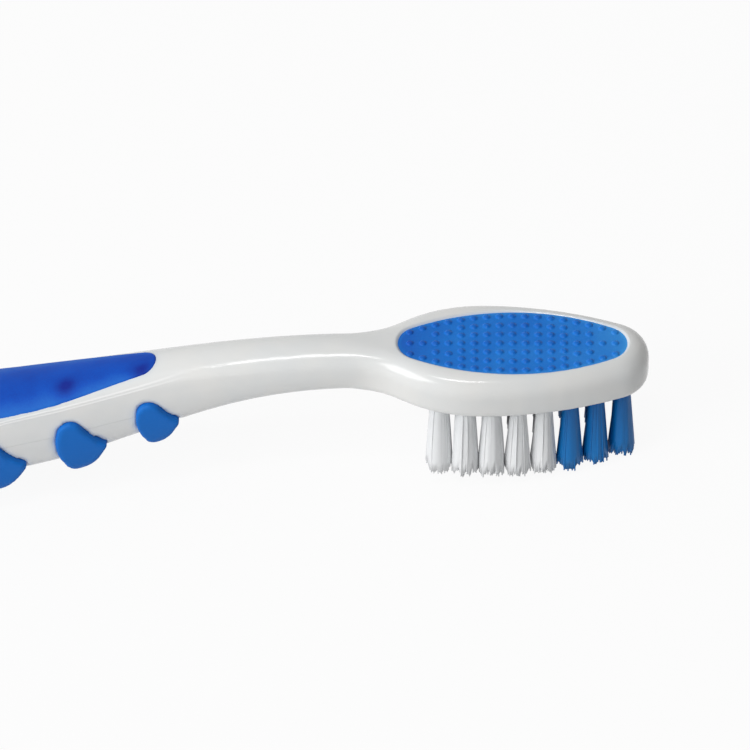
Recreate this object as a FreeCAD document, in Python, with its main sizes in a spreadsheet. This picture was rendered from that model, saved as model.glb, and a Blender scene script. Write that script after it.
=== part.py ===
"""A manual toothbrush with a tongue cleaner on the back of its head and a soft overmoulded grip.

The brush is drawn level, the way it is tooled: the back of the head lies at Z = 0, the toe at
X = 0, and the handle runs away along -X and sinks as it goes.  Every finished piece then gets the
placement in which the brush rests on a table, on its toe bristles and the underside of its tail.
All lengths are millimetres.
"""
import FreeCAD
import Part
import Sketcher

import math
import os

V = FreeCAD.Vector
UP = V(0, 0, 1)

# Driving dimensions: name, value, what it is
SIZES = [
    ("head_width", 13.9, "head across its widest place"),
    ("head_thickness", 4.9, "head, back face to bristle face"),
    ("toe_radius", 4.3, "plan radius of the toe"),
    ("widest_at", 18.0, "toe to the widest place of the head"),
    ("heel_radius", 16.0, "plan radius of the narrowing heel"),
    ("flare_radius", 9.0, "plan radius where the neck opens into the head"),
    ("stub_from", 34.5, "toe to the end of the head's stub inside the neck"),
    ("stub_width", 4.4, "that stub's end, across"),
    ("stub_taper", 9.0, "how the stub narrows, degrees a side"),
    ("back_edge", 2.1, "rounding of the head's back edge"),
    ("face_edge", 0.8, "rounding of the bristle face's edge"),
    ("handle_crown", 1.7, "rise of the handle's top across its width"),
    ("handle_swell", 0.8, "swell of the handle's sides over its depth"),
    ("shoulder_radius", 1.0, "edge between the handle's top and its sides"),
    ("belly_radius", 1.6, "edge between the handle's underside and its sides"),
    ("tail_dome", 7.0, "length of the rounded tail end"),
    ("pad_length", 24.6, "tongue cleaner pad, along the head"),
    ("pad_width", 9.6, "tongue cleaner pad, across"),
    ("pad_tip_radius", 2.6, "plan radius of the pad's two ends"),
    ("pad_from", 2.35, "toe to the pad's front end"),
    ("pad_recess", 0.9, "depth of the pad's recess in the head"),
    ("pad_sink", 0.2, "pad's face below the head's back"),
    ("nub_pitch", 1.376, "spacing of the tongue cleaner's nubs"),
    ("nub_radius", 0.33, "nub, over its corners"),
    ("nub_height", 0.4, "nub above the pad"),
    ("nub_margin", 0.25, "clear of the nubs, inside the pad's outline"),
    ("nub_row_pitch", 1.2, "spacing of the nubs across the pad, at least"),
    ("grip_from", 52.9, "toe to the thumb grip's front tip"),
    ("grip_length", 78.2, "thumb grip, end to end"),
    ("grip_width", 10.1, "thumb grip, across"),
    ("grip_tip_radius", 1.75, "plan radius of the thumb grip's ends"),
    ("grip_thickness", 1.3, "rubber over the handle's top"),
    ("grip_proud", 0.1, "rubber standing above the hard plastic"),
    ("rib_from", 53.5, "toe to the first finger rib"),
    ("rib_pitch", 8.35, "spacing of the finger ribs"),
    ("rib_height", 2.0, "finger rib below the handle's underside"),
    ("rib_side", 0.5, "finger rib outside the handle's sides"),
    ("rib_bed", 0.9, "depth of the groove that a finger rib is cast into"),
    ("rib_top", 2.45, "finger rib above the handle's middle, up its side"),
    ("rib_crest_behind", 0.2, "upper end of a finger rib behind its middle"),
    ("rib_front", 1.75, "bow of a finger rib's tail edge"),
    ("rib_tip", 3.1, "finger rib's leaning tip ahead of its middle"),
    ("rib_tip_below", 1.6, "finger rib's leaning tip under the handle's middle"),
    ("rib_heel_bow", 0.28, "bow of a finger rib's edge under its tip"),
    ("rib_keel_ahead", 0.65, "lowest corner of a finger rib ahead of its middle"),
    ("rib_keel_below", 1.15, "lowest corner of a finger rib under the handle's underside"),
    ("rib_hollow", 0.5, "hollow of a finger rib's edge above its tip"),
    ("rib_crest_round", 1.3, "rounding of a finger rib's upper end"),
    ("rib_tip_round", 0.35, "rounding of a finger rib's tip"),
    ("rib_keel_round", 1.1, "rounding of a finger rib under the handle"),
    ("channel_radius", 1.0, "rubber channel from thumb grip to finger rib"),
    ("channel_back", 1.0, "rubber channel behind its rib's middle"),
    ("hole_radius", 1.0, "tuft hole"),
    ("hole_depth", 3.0, "tuft hole below the bristle face"),
    ("tuft_from", 2.8, "toe to the first column of tufts"),
    ("tuft_pitch", 2.81, "spacing of the tuft columns"),
    ("tuft_margin", 2.25, "tuft centre to the head's side"),
    ("tuft_play", 0.02, "bundle in its hole, on the radius"),
    ("bristle_length", 9.7, "bristles beyond the bristle face"),
    ("tip_radius", 1.2, "spread of a tuft at its tips"),
    ("anchor_length", 2.5, "metal anchor, across its hole"),
    ("anchor_height", 1.3, "metal anchor, along its hole"),
    ("anchor_thickness", 0.3, "metal anchor, gauge"),
    ("anchor_fold", 0.35, "bristle fold between anchor and hole floor"),
    ("anchor_turn", 35.0, "metal anchor, turned from the head's length, degrees"),
]

# Handle stations from the head to the tail: name, run from the one before, height of the top
# line over the one before, width, depth, rise of the underside across the width
STATIONS = [
    ("root", 27.0, -0.20, 6.4, 4.4, 0.6),
    ("neck", 7.0, 0.25, 5.6, 5.7, 1.4),
    ("bend", 10.0, -0.95, 5.9, 6.7, 1.8),
    ("throat", 9.5, -1.75, 6.5, 8.8, 2.0),
    ("shoulder", 12.5, -3.00, 8.6, 10.7, 2.2),
    ("thumb", 14.0, -2.75, 10.4, 11.2, 2.2),
    ("palm", 19.0, -2.95, 11.9, 11.5, 2.0),
    ("waist", 22.0, -3.35, 12.2, 11.0, 1.5),
    ("heel", 29.0, -4.15, 11.2, 9.6, 0.9),
    ("tail", 33.0, -4.25, 9.6, 8.0, 0.4),
]
STATION_SIZES = ("run", "rise", "width", "depth", "belly")

# Tufts in each column from toe to heel: how many, and their colour
COLUMNS = [
    (2, "blue"),
    (3, "blue"),
    (3, "blue"),
    (4, "white"),
    (4, "white"),
    (4, "white"),
    (4, "white"),
    (3, "white"),
]
RIBS = 5
NUB_SIDES = 8
DOME_STEPS = (0.4, 0.7, 0.9, 0.985)

doc = FreeCAD.newDocument("Toothbrush")


def make_sheet():
    """The sheet of driving dimensions, one named cell to a row."""
    table = doc.addObject("Spreadsheet::Sheet", "Sizes")
    rows = [(name, value, note) for name, value, note in SIZES]
    for station in STATIONS:
        for size, value in zip(STATION_SIZES, station[1:]):
            rows.append((f"{station[0]}_{size}", value, f"handle at its {station[0]}: {size}"))
    for row, (name, value, note) in enumerate(rows, start=1):
        table.set(f"A{row}", note)
        table.set(f"B{row}", str(value))
        table.setAlias(f"B{row}", name)
    doc.recompute()
    return table


sheet = make_sheet()


def size(name):
    """The value of a driving dimension."""
    return float(getattr(sheet, name))


def number(formula):
    """The value of a formula in the driving dimensions."""
    return float(sheet.evalExpression(formula))


def named(formula):
    """The formula with every driving dimension written as a cell of the sheet."""
    return " ".join(f"Sizes.{word}" if word in ALIASES else word for word in formula.split(" "))


ALIASES = {name for name, value, note in SIZES}
ALIASES |= {f"{station[0]}_{part}" for station in STATIONS for part in STATION_SIZES}


class Drawing:
    """A sketch on one of its body's origin planes, with every size bound to the sheet."""

    def __init__(self, body, name, plane, offset="0", lift="0"):
        self.sketch = body.newObject("Sketcher::SketchObject", name)
        origin = [f for f in body.Origin.OriginFeatures if f.Role == plane][0]
        self.sketch.AttachmentSupport = (origin, [""])
        self.sketch.MapMode = "FlatFace"
        self.sketch.setExpression("AttachmentOffset.Base.z", named(offset))
        self.sketch.setExpression("AttachmentOffset.Base.y", named(lift))

    def arc(self, centre, radius, start, end):
        """An arc turning left from the angle start to the angle end, in radians."""
        circle = Part.Circle(V(centre[0], centre[1], 0), UP, radius)
        return self.sketch.addGeometry(Part.ArcOfCircle(circle, start, end))

    def line(self, start, end):
        return self.sketch.addGeometry(Part.LineSegment(V(*start, 0), V(*end, 0)))

    def circle(self, centre, radius):
        return self.sketch.addGeometry(Part.Circle(V(centre[0], centre[1], 0), UP, radius))

    def rule(self, kind, *items, formula=None):
        """A constraint, bound to a formula in the driving dimensions where it has one."""
        if formula is None:
            self.sketch.addConstraint(Sketcher.Constraint(kind, *items))
            return
        value = number(named(formula))
        if kind == "Angle":
            value = math.radians(value)
        index = self.sketch.addConstraint(Sketcher.Constraint(kind, *items, value))
        self.sketch.setExpression(f"Constraints[{index}]", named(formula))

    def centre(self, curve, across, up):
        """Holds a curve's centre at two distances from the sketch's origin."""
        self.rule("DistanceX", -1, 1, curve, 3, formula=across)
        self.rule("DistanceY", -1, 1, curve, 3, formula=up)


def new_body(name):
    return doc.addObject("PartDesign::Body", name)


def pad(body, drawing, name, length, down=False, both=False, taper=None):
    """A straight pad of the drawing's outline."""
    feature = body.newObject("PartDesign::Pad", name)
    feature.Profile = drawing.sketch
    feature.Reversed = down
    feature.Midplane = both
    feature.setExpression("Length", named(length))
    if taper is not None:
        feature.setExpression("TaperAngle", named(taper))
    return feature


def pocket(body, drawing, name, depth, up=False):
    """A straight pocket of the drawing's outline."""
    feature = body.newObject("PartDesign::Pocket", name)
    feature.Profile = drawing.sketch
    feature.Reversed = up
    feature.setExpression("Length", named(depth))
    return feature


def fillet(body, base, name, chosen, radius):
    """A fillet on the edges of the feature that the test picks out."""
    doc.recompute()
    edges = [f"Edge{n}" for n, edge in enumerate(base.Shape.Edges, start=1) if chosen(edge)]
    feature = body.newObject("PartDesign::Fillet", name)
    feature.Base = (base, edges)
    feature.setExpression("Radius", named(radius))
    return feature


def boolean(kind, name, base, tool):
    feature = doc.addObject(f"Part::{kind}", name)
    feature.Base = base
    feature.Tool = tool
    return feature


def angle_to(centre, point):
    return math.atan2(point[1] - centre[1], point[0] - centre[0])


def toward(start, end, distance):
    """The point at a distance from start on the line to end."""
    share = distance / math.dist(start, end)
    return (start[0] + share * (end[0] - start[0]), start[1] + share * (end[1] - start[1]))


def head_plan():
    """Centres and radii of the arcs that bound one side of the head, in plan."""
    half = size("head_width") / 2
    toe = size("toe_radius")
    back = size("widest_at") - toe
    side = (back * back + half * half - toe * toe) / (2 * (half - toe))
    heel = size("heel_radius")
    flare = size("flare_radius")
    taper = math.radians(size("stub_taper"))
    root = (-size("stub_from"), size("stub_width") / 2)
    heel_centre = (-size("widest_at"), half - heel)
    # The flare's centre lies one flare radius outside the root's slanted side
    along = (math.cos(taper), math.sin(taper))
    start = (root[0] - flare * along[1], root[1] + flare * along[0])
    gap = (start[0] - heel_centre[0], start[1] - heel_centre[1])
    middle = gap[0] * along[0] + gap[1] * along[1]
    reach = heel + flare
    travel = -middle - math.sqrt(middle * middle - gap[0] ** 2 - gap[1] ** 2 + reach * reach)
    flare_centre = (start[0] + travel * along[0], start[1] + travel * along[1])
    foot = (flare_centre[0] + flare * along[1], flare_centre[1] - flare * along[0])
    return {
        "toe": (-toe, 0.0),
        "side": (-size("widest_at"), half - side),
        "side_radius": side,
        "heel": heel_centre,
        "flare": flare_centre,
        "foot": foot,
        "root": root,
    }


def draw_head_outline(body):
    """The head in plan: toe, sides, heel and flares as tangent arcs, then the slanted root."""
    plan = head_plan()
    toe = size("toe_radius")
    heel = size("heel_radius")
    half = size("head_width") / 2
    outline = Drawing(body, "head_outline", "XY_Plane")
    toe_end = toward(plan["side"], plan["toe"], plan["side_radius"])
    turn = toward(plan["heel"], plan["flare"], heel)
    widest = (plan["heel"][0], half)

    def mirrored(point):
        return (point[0], -point[1])

    toe_arc = outline.arc(plan["toe"], toe, -angle_to(plan["toe"], toe_end), angle_to(plan["toe"], toe_end))
    sides, heels, flares, lines = [], [], [], []
    for near in (False, True):
        flip = mirrored if near else (lambda point: point)
        ends = []
        for centre, first, second in (
            (plan["side"], toe_end, widest),
            (plan["heel"], widest, turn),
            (plan["flare"], plan["foot"], turn),
        ):
            angles = [angle_to(flip(centre), flip(first)), angle_to(flip(centre), flip(second))]
            ends.append((flip(centre), angles[::-1] if near else angles))
        sides.append(outline.arc(ends[0][0], plan["side_radius"], *ends[0][1]))
        heels.append(outline.arc(ends[1][0], heel, *ends[1][1]))
        flares.append(outline.arc(ends[2][0], size("flare_radius"), *ends[2][1]))
        lines.append(outline.line(flip(plan["foot"]), flip(plan["root"])))
    end = outline.line(plan["root"], mirrored(plan["root"]))
    # Which end of each curve meets the next, on the far side and on the near side
    for side, (first, second) in enumerate(((1, 2), (2, 1))):
        outline.rule("Tangent", toe_arc, second, sides[side], first)
        outline.rule("Tangent", sides[side], second, heels[side], first)
        outline.rule("Tangent", heels[side], second, flares[side], second)
        outline.rule("Tangent", flares[side], first, lines[side], 1)
        outline.rule("Coincident", lines[side], 2, end, side + 1)
        sign = "-" if side else ""
        outline.rule("DistanceX", -1, 1, sides[side], 3, formula="- widest_at")
        outline.rule("DistanceX", -1, 1, heels[side], 3, formula="- widest_at")
        outline.rule("DistanceY", -1, 1, heels[side], first, formula=f"{sign} head_width / 2")
        outline.rule("Radius", heels[side], formula="heel_radius")
        outline.rule("Radius", flares[side], formula="flare_radius")
        outline.rule("DistanceY", -1, 1, lines[side], 2, formula=f"{sign} stub_width / 2")
        outline.rule("Angle", lines[side], formula=f"180 {'-' if side else '+'} stub_taper")
    outline.centre(toe_arc, "- toe_radius", "0")
    outline.rule("Radius", toe_arc, formula="toe_radius")
    outline.rule("DistanceX", -1, 1, end, 1, formula="- stub_from")
    outline.rule("Vertical", end)
    return outline


def draw_oval(body, name, length, width, tip, front, offset="0"):
    """An oval of two long arcs and two small ones, lying along X behind the front distance."""
    a = number(named(length)) / 2
    b = number(named(width)) / 2
    r = number(named(tip))
    x = -number(named(front)) - a
    long_radius = ((a - r) ** 2 + b * b - r * r) / (2 * (b - r))
    oval = Drawing(body, name, "XY_Plane", offset)
    lift = long_radius - b
    lean = math.atan2(a - r, lift)
    quarter = math.pi / 2
    curves = [
        oval.arc((x + a - r, 0), r, lean - quarter, quarter - lean),
        oval.arc((x, -lift), long_radius, quarter - lean, quarter + lean),
        oval.arc((x - a + r, 0), r, quarter + lean, 3 * quarter - lean),
        oval.arc((x, lift), long_radius, 3 * quarter - lean, 3 * quarter + lean),
    ]
    for first, second in zip(curves, curves[1:] + curves[:1]):
        oval.rule("Tangent", first, 2, second, 1)
    oval.centre(curves[0], f"- {front} - {tip}", "0")
    oval.centre(curves[2], f"- {front} - {length} + {tip}", "0")
    oval.rule("Radius", curves[0], formula=tip)
    oval.rule("Radius", curves[2], formula=tip)
    shape = f"( ( {length} / 2 - {tip} ) ^ 2 + {width} ^ 2 / 4 - {tip} ^ 2 ) / ( {width} - 2 * {tip} )"
    oval.rule("Radius", curves[1], formula=shape)
    oval.rule("Radius", curves[3], formula=shape)
    return oval


def station_formulas(index, side="0", above="0", below="0"):
    """Formulas for one handle station: its X, middle height, half width and half depth."""
    runs = " - ".join(f"{station[0]}_run" for station in STATIONS[: index + 1])
    rises = " + ".join(f"{station[0]}_rise" for station in STATIONS[: index + 1])
    name = STATIONS[index][0]
    return {
        "x": f"- {runs}",
        "middle": f"{rises} - {name}_depth / 2 + ( {above} - {below} ) / 2",
        "across": f"( {name}_width / 2 + {side} )",
        "up": f"( {name}_depth / 2 + ( {above} + {below} ) / 2 )",
        "belly": f"{name}_belly",
    }


def corner_centre(first, first_radius, second, second_radius, radius, sign):
    """Centre of the arc inside two larger arcs and touching both, on the given side of level."""
    near = first_radius - radius
    far = second_radius - radius
    gap = math.dist(first, second)
    along = (near * near - far * far + gap * gap) / (2 * gap)
    out = math.sqrt(near * near - along * along)
    step = ((second[0] - first[0]) / gap, (second[1] - first[1]) / gap)
    options = []
    for turn in (1, -1):
        across = first[0] + along * step[0] - turn * out * step[1]
        options.append((across, first[1] + along * step[1] + turn * out * step[0]))
    return max(options, key=lambda point: point[0] + sign * point[1])


def draw_section(body, name, station, share=1.0, inward="0", back="0"):
    """The handle's section: crowned top and belly, swelling sides and four rounded corners."""
    scale = f"{share:.6f} *"
    section = Drawing(body, name, "YZ_Plane", f"{station['x']} - {back}", station["middle"])
    across = f"{scale} {station['across']}"
    up = f"{scale} {station['up']}"

    def bow(chord, rise):
        """Radius of an arc with this half chord and this rise."""
        return f"( ( {chord} ) ^ 2 / ( 2 * {rise} ) + {rise} / 2 )"

    top_radius = bow(across, f"( {scale} handle_crown )")
    belly_radius = bow(across, f"( {scale} {station['belly']} )")
    side_radius = bow(up, f"( {scale} handle_swell )")
    shoulder = f"{scale} ( shoulder_radius + {inward} )"
    corner = f"{scale} ( belly_radius + {inward} )"

    w, d = number(named(across)), number(named(up))
    rt, rb, rs = (number(named(r)) for r in (top_radius, belly_radius, side_radius))
    r1, r2 = number(named(shoulder)), number(named(corner))
    top, belly = (0, d - rt), (0, rb - d)
    right, left = (w - rs, 0), (rs - w, 0)
    upper = corner_centre(top, rt, right, rs, r1, 1)
    lower = corner_centre(belly, rb, right, rs, r2, -1)
    joints = [
        toward(right, lower, rs),
        toward(right, upper, rs),
        toward(top, upper, rt),
        toward(belly, lower, rb),
    ]

    def flip(point):
        return (-point[0], point[1])

    stretches = [
        (right, rs, joints[0], joints[1]),
        (upper, r1, joints[1], joints[2]),
        (top, rt, joints[2], flip(joints[2])),
        (flip(upper), r1, flip(joints[2]), flip(joints[1])),
        (left, rs, flip(joints[1]), flip(joints[0])),
        (flip(lower), r2, flip(joints[0]), flip(joints[3])),
        (belly, rb, flip(joints[3]), joints[3]),
        (lower, r2, joints[3], joints[0]),
    ]
    curves = []
    for centre, radius, start, end in stretches:
        first = angle_to(centre, start)
        second = angle_to(centre, end)
        if second < first:
            second += 2 * math.pi
        curves.append(section.arc(centre, radius, first, second))
    for first, second in zip(curves, curves[1:] + curves[:1]):
        section.rule("Tangent", first, 2, second, 1)
    radii = (side_radius, shoulder, top_radius, shoulder, side_radius, corner, belly_radius, corner)
    for curve, radius in zip(curves, radii):
        section.rule("Radius", curve, formula=radius)
    section.centre(curves[0], f"{across} - {side_radius}", "0")
    section.centre(curves[2], "0", f"{up} - {top_radius}")
    section.centre(curves[4], f"{side_radius} - {across}", "0")
    section.centre(curves[6], "0", f"{belly_radius} - {up}")
    return section


def loft(body, name, sections):
    feature = body.newObject("PartDesign::AdditiveLoft", name)
    feature.Profile = sections[0].sketch
    feature.Sections = [section.sketch for section in sections[1:]]
    return feature


def add_handle_loft(body):
    """The neck, grip and tail, lofted through the stations and closed by a dome."""
    sections = []
    for index, station in enumerate(STATIONS):
        sections.append(draw_section(body, f"{station[0]}_section", station_formulas(index)))
    last = station_formulas(len(STATIONS) - 1)
    for step in DOME_STEPS:
        share = math.sqrt(1 - step * step)
        name = f"dome_section_{round(100 * step)}"
        sections.append(draw_section(body, name, last, share, back=f"{step} * tail_dome"))
    return loft(body, "handle_loft", sections)


def make_rib_space(name, side, above, below, inward):
    """The handle's grip stretch, grown or shrunk, as a tool for the finger ribs."""
    body = new_body(name)
    sections = []
    for index, station in enumerate(STATIONS[2:7], start=2):
        formulas = station_formulas(index, side, above, below)
        sections.append(draw_section(body, f"{name}_{station[0]}", formulas, inward=inward))
    loft(body, f"{name}_loft", sections)
    return body


def tuft_centres():
    """The tufts in plan: X, Y, colour, column by column from the toe."""
    plan = head_plan()
    margin = size("tuft_margin")
    toe, side, heel = plan["toe"], plan["side"], plan["heel"]
    centres = []
    for column, (count, colour) in enumerate(COLUMNS):
        x = -size("tuft_from") - column * size("tuft_pitch")
        toe_end = toward(side, toe, plan["side_radius"])
        if x > toe_end[0]:
            centre, radius = toe, size("toe_radius")
        elif x > side[0]:
            centre, radius = side, plan["side_radius"]
        else:
            centre, radius = heel, size("heel_radius")
        edge = centre[1] + math.sqrt((radius - margin) ** 2 - (x - centre[0]) ** 2)
        for row in range(count):
            centres.append((x, edge * (2 * row / (count - 1) - 1), colour, column, row))
    return centres


def make_handle_blank():
    """The hard moulding without its rubber: head, neck and handle, with the head's recesses."""
    body = new_body("handle_blank")
    thickness = "head_thickness"
    blade = pad(body, draw_head_outline(body), "head_blade", thickness, down=True)
    root = -size("stub_from")

    def rim(height):
        def chosen(edge):
            box = edge.BoundBox
            level = abs(box.ZMin - height) < 0.001 and abs(box.ZMax - height) < 0.001
            return level and box.XMax > root + 0.001

        return chosen

    back = fillet(body, blade, "back_rounding", rim(0.0), "back_edge")
    fillet(body, back, "face_rounding", rim(-size(thickness)), "face_edge")
    add_handle_loft(body)
    oval = draw_oval(body, "pad_recess_outline", "pad_length", "pad_width", "pad_tip_radius", "pad_from")
    pocket(body, oval, "pad_recess_pocket", "pad_recess")
    holes = Drawing(body, "tuft_hole_plan", "XY_Plane", "- head_thickness")
    for x, y, colour, column, row in tuft_centres():
        hole = holes.circle((x, y), size("hole_radius"))
        holes.rule("Radius", hole, formula="hole_radius")
        holes.rule("DistanceX", -1, 1, hole, 3, formula=f"- tuft_from - {column} * tuft_pitch")
        holes.sketch.addConstraint(Sketcher.Constraint("DistanceY", -1, 1, hole, 3, y))
    pocket(body, holes, "tuft_holes", "hole_depth", up=True)
    return body


def pad_half_width(x):
    """Half the pad's width at a distance from its middle: a side arc, or a tip arc near the ends."""
    tip = size("pad_tip_radius")
    end = size("pad_length") / 2 - tip
    half = size("pad_width") / 2
    side = (end * end + half * half - tip * tip) / (2 * (half - tip))
    if abs(x) < end * side / (side - tip):
        return math.sqrt(side * side - x * x) - side + half
    return math.sqrt(tip * tip - (abs(x) - end) ** 2)


def nub_places():
    """Column, row and Y of every nub: each column is spread evenly over the pad's width there."""
    clear = size("nub_margin") + size("nub_radius")
    columns = math.floor((size("pad_length") / 2 - clear) / size("nub_pitch"))
    places = []
    for column in range(-columns, columns + 1):
        room = pad_half_width(column * size("nub_pitch")) - clear
        rows = math.floor(room / size("nub_row_pitch"))
        for row in range(-rows, rows + 1):
            places.append((column, row, row * room / max(rows, 1)))
    return places


def make_tongue_cleaner():
    """The soft pad in the head's back, with its field of small nubs."""
    plate = new_body("tongue_plate")
    floor = "- pad_recess"
    oval = draw_oval(plate, "pad_outline", "pad_length", "pad_width", "pad_tip_radius", "pad_from", floor)
    pad(plate, oval, "pad_plate", "pad_recess - pad_sink")
    nubs = []
    for column, row, y in nub_places():
        nub = doc.addObject("Part::Prism", f"nub_{column}_{row}")
        nub.Polygon = NUB_SIDES
        nub.Placement.Base = V(0, y, 0)
        nub.setExpression("Circumradius", named("nub_radius"))
        nub.setExpression("Height", named("nub_height + pad_sink"))
        nub.setExpression("Placement.Base.z", named("- 2 * pad_sink"))
        across = f"- pad_from - pad_length / 2 + {column} * nub_pitch"
        nub.setExpression("Placement.Base.x", named(across))
        nubs.append(nub)
    cleaner = doc.addObject("Part::MultiFuse", "tongue_cleaner")
    cleaner.Shapes = [plate] + nubs
    return cleaner


def station_at(shape, x):
    """Top, underside and half width of the handle at a distance from the toe."""
    boxes = [wire.optimalBoundingBox() for wire in shape.slice(V(1, 0, 0), x)]
    top = max(box.ZMax for box in boxes)
    bottom = min(box.ZMin for box in boxes)
    return top, bottom, max(box.YMax for box in boxes)


def bowed(start, end, rise):
    """An arc in the XZ plane from start to end, bowed to the left by the rise."""
    run = (end[0] - start[0], end[1] - start[1])
    length = math.hypot(*run)
    middle = ((start[0] + end[0]) / 2, (start[1] + end[1]) / 2)
    peak = (middle[0] - run[1] / length * rise, middle[1] + run[0] / length * rise)
    return Part.Arc(V(start[0], 0, start[1]), V(peak[0], 0, peak[1]), V(end[0], 0, end[1])).toShape()


def make_fin(blank, number_of_rib):
    """The side profile of one finger rib, a wave that leans to the head, run across the handle."""
    x = -size("rib_from") - number_of_rib * size("rib_pitch")
    top, bottom, half = station_at(blank.Shape, x)
    middle = (top + bottom) / 2
    growth = (top - bottom) / size("throat_depth")
    crest = (x - size("rib_crest_behind"), middle + size("rib_top") * growth)
    tip = (x + size("rib_tip") * growth, middle - size("rib_tip_below") * growth)
    keel = (x + size("rib_keel_ahead"), bottom - size("rib_keel_below"))
    edges = [
        bowed(keel, crest, size("rib_front") * growth),
        bowed(crest, tip, -size("rib_hollow") * growth),
        bowed(tip, keel, size("rib_heel_bow") * growth),
    ]
    face = Part.Face(Part.Wire(edges))
    reach = half + 2 * size("rib_side") + size("grip_width")
    face.translate(V(0, -reach, 0))
    solid = face.extrude(V(0, 2 * reach, 0))
    for corner, radius in ((crest, "rib_crest_round"), (tip, "rib_tip_round"), (keel, "rib_keel_round")):
        edge = min(solid.Edges, key=lambda e: e.BoundBox.Center.distanceToPoint(V(corner[0], 0, corner[1])))
        solid = solid.makeFillet(size(radius), [edge])
    fin = doc.addObject("Part::Feature", f"fin_{number_of_rib + 1}")
    fin.Shape = solid
    return fin


def make_channel(blank, number_of_rib):
    """The rubber channel that joins one finger rib to the thumb grip through the handle."""
    x = -size("rib_from") - number_of_rib * size("rib_pitch") - size("channel_back")
    top, bottom, half = station_at(blank.Shape, x)
    upper = top - size("grip_thickness") / 2
    lower = bottom + size("rib_bed") / 2
    channel = doc.addObject("Part::Cylinder", f"channel_{number_of_rib + 1}")
    channel.setExpression("Radius", named("channel_radius"))
    channel.Height = upper - lower
    channel.Placement.Base = V(x, 0, lower)
    return channel


def make_soft_grip(blank):
    """The one-shot rubber: thumb grip in the top, finger ribs under it, channels between."""
    doc.recompute()
    oval_body = new_body("thumb_outline")
    oval = draw_oval(oval_body, "thumb_oval", "grip_length", "grip_width", "grip_tip_radius", "grip_from")
    drop = " - ".join(f"{station[0]}_rise" for station in STATIONS)
    pad(oval_body, oval, "thumb_column", f"2 * ( head_thickness - {drop} )", both=True)
    raised = doc.addObject("App::Link", "raised_top")
    raised.LinkedObject = blank
    raised.setExpression("Placement.Base.z", named("grip_proud"))
    lowered = doc.addObject("App::Link", "grip_floor")
    lowered.LinkedObject = blank
    lowered.setExpression("Placement.Base.z", named("- grip_thickness"))
    slab = boolean("Common", "thumb_slab", raised, oval_body)
    thumb = boolean("Cut", "thumb_grip", slab, lowered)
    outer = make_rib_space("rib_outside", "rib_side", "rib_side", "rib_height", "rib_side")
    bed = make_rib_space("rib_inside", "- rib_bed", "- rib_bed", "- rib_bed", "- rib_bed * 0.5")
    fins = doc.addObject("Part::MultiFuse", "fins")
    fins.Shapes = [make_fin(blank, rib) for rib in range(RIBS)]
    bands = boolean("Common", "rib_bands", outer, fins)
    ribs = boolean("Cut", "finger_ribs", bands, bed)
    rubber = doc.addObject("Part::MultiFuse", "rubber_shot")
    rubber.Shapes = [thumb, ribs] + [make_channel(blank, rib) for rib in range(RIBS)]
    soft_grip = doc.addObject("Part::Refine", "soft_grip")
    soft_grip.Source = rubber
    return soft_grip, rubber


def make_anchors():
    """The flat metal anchors that hold the folded bristle bundles, one in each hole."""
    boxes = []
    for x, y, colour, column, row in tuft_centres():
        box = doc.addObject("Part::Box", f"anchor_{column + 1}_{row + 1}")
        box.setExpression("Length", named("anchor_length"))
        box.setExpression("Width", named("anchor_thickness"))
        box.setExpression("Height", named("anchor_height"))
        turn = FreeCAD.Rotation(UP, size("anchor_turn"))
        corner = V(-size("anchor_length") / 2, -size("anchor_thickness") / 2, 0)
        floor = size("hole_depth") - size("head_thickness")
        base = V(x, y, floor - size("anchor_fold") - size("anchor_height"))
        box.Placement = FreeCAD.Placement(base + turn.multVec(corner), turn)
        boxes.append(box)
    anchors = doc.addObject("Part::Compound", "anchors")
    anchors.Links = boxes
    slots = doc.addObject("Part::Compound", "anchor_slots")
    slots.Links = boxes
    return anchors, slots, boxes


def make_tuft(x, y, name):
    """One bundle of bristles: straight in its hole, spreading a little to its trimmed tips."""
    body = new_body(f"{name}_bundle")
    profile = Drawing(body, f"{name}_profile", "XZ_Plane")
    root = size("hole_radius") - size("tuft_play")
    floor = size("hole_depth") - size("head_thickness")
    face = -size("head_thickness")
    tip = face - size("bristle_length")
    spread = size("tip_radius")
    points = [(0, floor), (0, tip), (spread, tip), (root, face), (root, floor)]
    lines = [profile.line(a, b) for a, b in zip(points, points[1:] + points[:1])]
    for first, second in zip(lines, lines[1:] + lines[:1]):
        profile.rule("Coincident", first, 2, second, 1)
    profile.rule("Vertical", lines[0])
    profile.rule("Horizontal", lines[1])
    profile.rule("Vertical", lines[3])
    profile.rule("Horizontal", lines[4])
    profile.rule("PointOnObject", lines[0], 1, -2)
    profile.rule("DistanceY", -1, 1, lines[0], 1, formula="hole_depth - head_thickness")
    profile.rule("DistanceY", -1, 1, lines[1], 1, formula="- head_thickness - bristle_length")
    profile.rule("DistanceX", -1, 1, lines[1], 2, formula="tip_radius")
    profile.rule("DistanceY", -1, 1, lines[3], 1, formula="- head_thickness")
    profile.rule("DistanceX", -1, 1, lines[3], 1, formula="hole_radius - tuft_play")
    turned = body.newObject("PartDesign::Revolution", f"{name}_revolution")
    turned.Profile = profile.sketch
    turned.ReferenceAxis = (profile.sketch, ["V_Axis"])
    turned.Angle = 360
    body.Placement.Base = V(x, y, 0)
    return body


def make_tufts(boxes):
    """Every bundle as a piece of its own, folded round its anchor."""
    tufts = []
    for (x, y, colour, column, row), box in zip(tuft_centres(), boxes):
        name = f"{colour}_tuft_{column + 1}_{row + 1}"
        tufts.append(boolean("Cut", name, make_tuft(x, y, name), box))
    return tufts


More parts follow.
